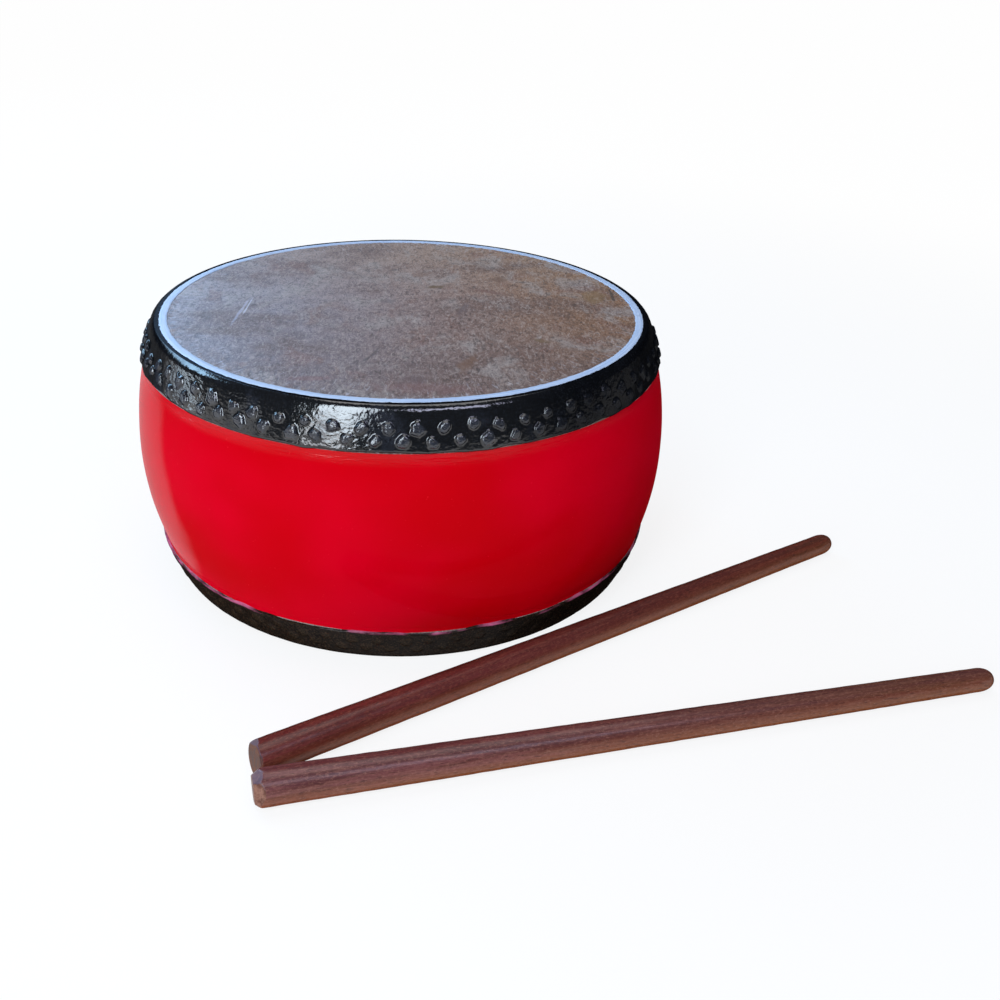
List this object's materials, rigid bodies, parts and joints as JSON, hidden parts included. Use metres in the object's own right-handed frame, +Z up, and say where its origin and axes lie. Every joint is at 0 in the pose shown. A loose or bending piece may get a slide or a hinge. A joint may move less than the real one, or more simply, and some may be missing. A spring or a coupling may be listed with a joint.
{
  "type": "barrel drum",
  "caption": "Shallow red lacquered barrel drum with a pegged hide on each end, standing on its lower head, with its turned sticks beside it.",
  "frame": {"origin": "centre of the lower playing face, on the surface that the drum stands on", "axes": "+Z up along the drum's axis to the upper playing face; the picture looks along +Y, with the sticks on the -Y side"},
  "size_m": [0.5039, 0.444, 0.16],
  "materials": {
    "stave_wood": "plain sawn and scraped wood, hidden under the lacquer and the hides",
    "hide": "dry satin rawhide, mottled grey and brown, with a painted pale rim",
    "black_lacquer": "thick wet gloss black lacquer over whittled peg heads",
    "red_lacquer": "smooth gloss red lacquer",
    "stick_wood": "dark red-brown hardwood, satin"
  },
  "bodies": {
    "drum": {"stave_01": "stave_wood", "stave_02": "stave_wood", "stave_03": "stave_wood", "stave_04": "stave_wood", "stave_05": "stave_wood", "stave_06": "stave_wood", "stave_07": "stave_wood", "stave_08": "stave_wood", "stave_09": "stave_wood", "stave_10": "stave_wood", "stave_11": "stave_wood", "stave_12": "stave_wood", "stave_13": "stave_wood", "stave_14": "stave_wood", "stave_15": "stave_wood", "stave_16": "stave_wood", "stave_17": "stave_wood", "hide_top": "hide", "hide_bottom": "hide", "peg_band_top": "black_lacquer", "peg_band_bottom": "black_lacquer", "red_lacquer_coat": "red_lacquer"},
    "back_stick": {"stick_back": "stick_wood"},
    "front_stick": {"stick_front": "stick_wood"}
  },
  "joints": [
    {"name": "back_stick_lift", "type": "slide", "parent": "drum", "child": "back_stick", "axis": [0, -0.1736, 0.9848], "range_m": [0, 0.25]},
    {"name": "front_stick_lift", "type": "slide", "parent": "drum", "child": "front_stick", "axis": [0, -0.1736, 0.9848], "range_m": [0, 0.25]}
  ]
}
